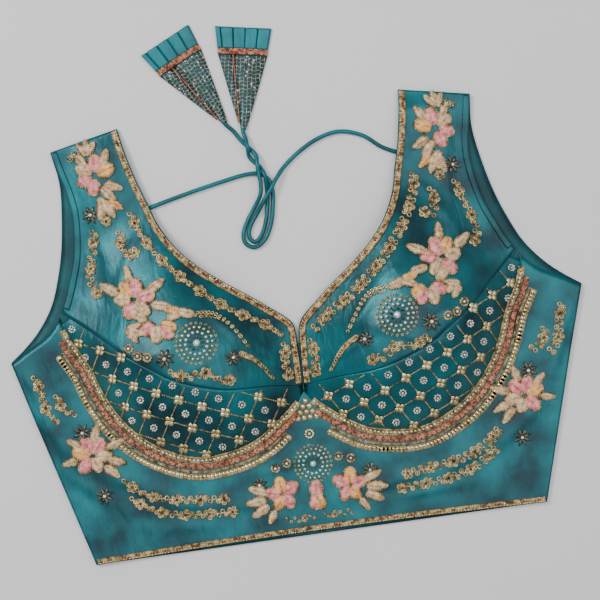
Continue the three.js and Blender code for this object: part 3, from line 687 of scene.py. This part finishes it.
def halfWidth(a):
    return tassel["tipHalf"] + (tassel["bandHalf"] - tassel["tipHalf"]) * max(0, a / tassel["cone"]) ** 0.92


def lowEdge(a):
    return -1.25 * halfWidth(a)


def midEdge(a):
    return 0.75 * halfWidth(a)


def highEdge(a):
    return midEdge(a) + tassel["fold"] * a / tassel["cone"]


# height of a folded layer across its width, crowned in the middle
def dome(peak):
    def crown(a, t):
        arch = np.minimum(1, (1 - np.abs(2 * t - 1) ** 2.2)) ** 0.6
        return 0.6 + (peak - 0.6) * arch * (0.75 + 0.25 * a / 90)
    return crown


def buildTassels():
    made = {}
    for label, row in tasselRows.items():
        axis = math.radians(row["deg"])

        def place(along, across, highAt):
            x = row["x"] - garment["midX"] + along * math.cos(axis) - across * math.sin(axis)
            y = row["y"] - garment["midY"] + along * math.sin(axis) + across * math.cos(axis)
            return np.stack([x, y, highAt], -1) / mmPerMetre

        pieces = []

        def sheetSolid(name, alongs, leftEdge, rightEdge, topHigh, finish, nodes, columns=41):
            t = np.linspace(0, 1, columns)
            tops, unders = [], []
            for a in alongs:
                across = leftEdge(a) + (rightEdge(a) - leftEdge(a)) * t
                tops.append(place(np.full(columns, a), across, topHigh(a, t)))
                unders.append(place(np.full(columns, a), across, np.full(columns, 0.25)))
            n = len(alongs)
            verts = np.concatenate([np.concatenate(tops), np.concatenate(unders)])
            grid = gridFaces(n, columns)
            faces = [list(f) for f in grid] + [list(f[::-1] + n * columns) for f in grid]
            rim = list(range(columns)) + [r * columns + columns - 1 for r in range(1, n)]
            rim += [(n - 1) * columns + i for i in range(columns - 2, -1, -1)]
            rim += [r * columns for r in range(n - 2, 0, -1)]
            for i, j in zip(rim, rim[1:] + rim[:1]):
                faces.append([i, i + n * columns, j + n * columns, j])
            pieces.append(makePiece(name, verts, faces, finish, nodes))

        prefix, frillFrom, frillTo = "latkan_" + label, tassel["frill"][0], tassel["frill"][1]
        bandLow, bandHigh = lowEdge(tassel["cone"]) - 0.3, highEdge(tassel["cone"]) + 0.6

        def flare(a):
            return 1 + tassel["flare"] * (a - frillFrom) / (frillTo - frillFrom)

        def pleats(a, t):
            saw = (t * tassel["pleats"]) % 1
            ridge = 2.3 * np.minimum(1, saw * 7) * (1 - 0.35 * saw)
            return 1.1 + ridge * (0.85 + 0.15 * (a - frillFrom) / (frillTo - frillFrom))

        sheetSolid(prefix + "_front", np.linspace(0, tassel["cone"], 40), lowEdge, midEdge,
                   dome(tassel["frontHigh"]), "inside",
                   [prefix + "_cone"])
        sheetSolid(prefix + "_side", np.linspace(6, tassel["cone"], 36), lambda a: midEdge(a) + 0.1,
                   highEdge,
                   dome(tassel["sideHigh"]), "inside", [prefix + "_cone_fold"])
        sheetSolid(prefix + "_beading", np.linspace(*tassel["band"], 7), lambda a: bandLow,
                   lambda a: bandHigh,
                   dome(tassel["bandHigh"]), "coral", [prefix + "_band"])
        sheetSolid(prefix + "_pleats", np.linspace(frillFrom, frillTo, 14), lambda a: bandLow * flare(a),
                   lambda a: bandHigh * flare(a), pleats, "tube", [prefix + "_frill"], 130)
        # the cone's bead net and the band's beads
        bins = {}

        def put(finish, form, along, across, highAt, size):
            bins.setdefault(finish, []).append((form[0] * size / mmPerMetre + place(along, across, highAt),
                                                form[1]))

        def topAt(a, across):
            t = (across - lowEdge(a)) / (midEdge(a) - lowEdge(a))
            if 0 <= t <= 1:
                return dome(tassel["frontHigh"])(a, t)
            s = (across - midEdge(a)) / max(0.1, highEdge(a) - midEdge(a))
            return dome(tassel["sideHigh"])(a, min(1, max(0, s)))

        for a in np.arange(2, 62, 3.2):
            for c in np.arange(lowEdge(a) + 0.5, highEdge(a) - 0.3, 0.85):
                put("silver" if rng.random() < 0.55 else "zari", bead, a + 0.5 * math.sin(c), c,
                    topAt(a, c) + 0.1, 0.8)
            if a > 8:
                for c in np.arange(lowEdge(a) + 1.4, highEdge(a) - 1, tassel["net"]):
                    if rng.random() < 0.16:
                        put("stone", bead, a + 1.6, c + 1.6, topAt(a + 1.6, c + 1.6) + 0.3, 1.9)
        for k in range(-9, 10):
            for a in np.arange(3, 62, 0.85):
                c = k * tassel["net"] - 2.5
                if lowEdge(a) + 0.4 < c < highEdge(a) - 0.4:
                    put("zari" if rng.random() < 0.5 else "silver", bead, a, c, topAt(a, c) + 0.1, 0.75)
        for a in np.arange(6, 63, 1.1):
            put("coral", bead, a, midEdge(a), 3.2, 1.2)
        for a in np.arange(63.8, 67.6, 1.2):
            for c in np.arange(bandLow + 0.8, bandHigh - 0.6, 1.25):
                t = (c - bandLow) / (bandHigh - bandLow)
                finish = ("coral", "zari", "coral", "maroon")[int(rng.integers(4))]
                put(finish, bead, a, c, dome(tassel["bandHigh"])(a, t) + 0.1, 1.5)
        for finish, rows in bins.items():
            verts, faces, base = [], [], 0
            for points, forms in rows:
                verts.append(points)
                faces += [[i + base for i in f] for f in forms]
                base += len(points)
            pieces.append(makePiece(prefix + "_net_" + finish, np.concatenate(verts), faces, finish))
        made[label] = pieces
    print("tassels made")
    return made


# lamps: name, place, watts, width; places in metres
lamps = [("keyLamp", (-0.9, 0.75, 1.25), 17.0, 0.45), ("fillLamp", (1.0, 0.3, 1.5), 7.0, 1.2),
         ("topLamp", (0.1, 0.1, 2.6), 34.0, 2.4)]
room = {"light": (0.9, 0.93, 0.95, 1), "strength": 0.55}
overhead = {"place": (0.0058, 0.0165, 1.403), "turn": -8, "lens": 100, "sensor": 36}


def buildStage():
    bpy.ops.mesh.primitive_plane_add(size=6, location=(0, 0, -0.0004))
    floor = bpy.context.object
    floor.name = "floor"
    mat, tree, shader = newMaterial("paleCard", {"Roughness": 0.9, "Specular IOR Level": 0.1})
    place = addNode(tree, "ShaderNodeTexCoord").outputs["Object"]
    tree.links.new(colourNoise(tree, place, 3.0, "#d6d4d5", "#dad8d9"), shader.inputs["Base Color"])
    floor.data.materials.append(mat)
    for name, spot, watts, size in lamps:
        lamp = bpy.data.lights.new(name, "AREA")
        lamp.energy, lamp.size = watts, size
        holder = bpy.data.objects.new(name, lamp)
        holder.location = spot
        holder.rotation_euler = (Vector((0, 0, 0)) - Vector(spot)).to_track_quat("-Z", "Y").to_euler()
        bpy.context.scene.collection.objects.link(holder)
    world = bpy.data.worlds.new("room")
    bpy.context.scene.world = world
    world.use_nodes = True
    world.node_tree.nodes["Background"].inputs["Color"].default_value = room["light"]
    world.node_tree.nodes["Background"].inputs["Strength"].default_value = room["strength"]
    shot = bpy.data.cameras.new("overhead")
    shot.lens, shot.sensor_width = overhead["lens"], overhead["sensor"]
    holder = bpy.data.objects.new("overhead", shot)
    holder.location = overhead["place"]
    holder.rotation_euler = (0, 0, math.radians(overhead["turn"]))
    bpy.context.scene.collection.objects.link(holder)
    bpy.context.scene.camera = holder


buildStage()
tassels = buildTassels()
buildTie()
buildCloth()
buildTrims()
buildEmbroidery()
buildLattice()
flushStock("embroidery")
print("embroidery made")
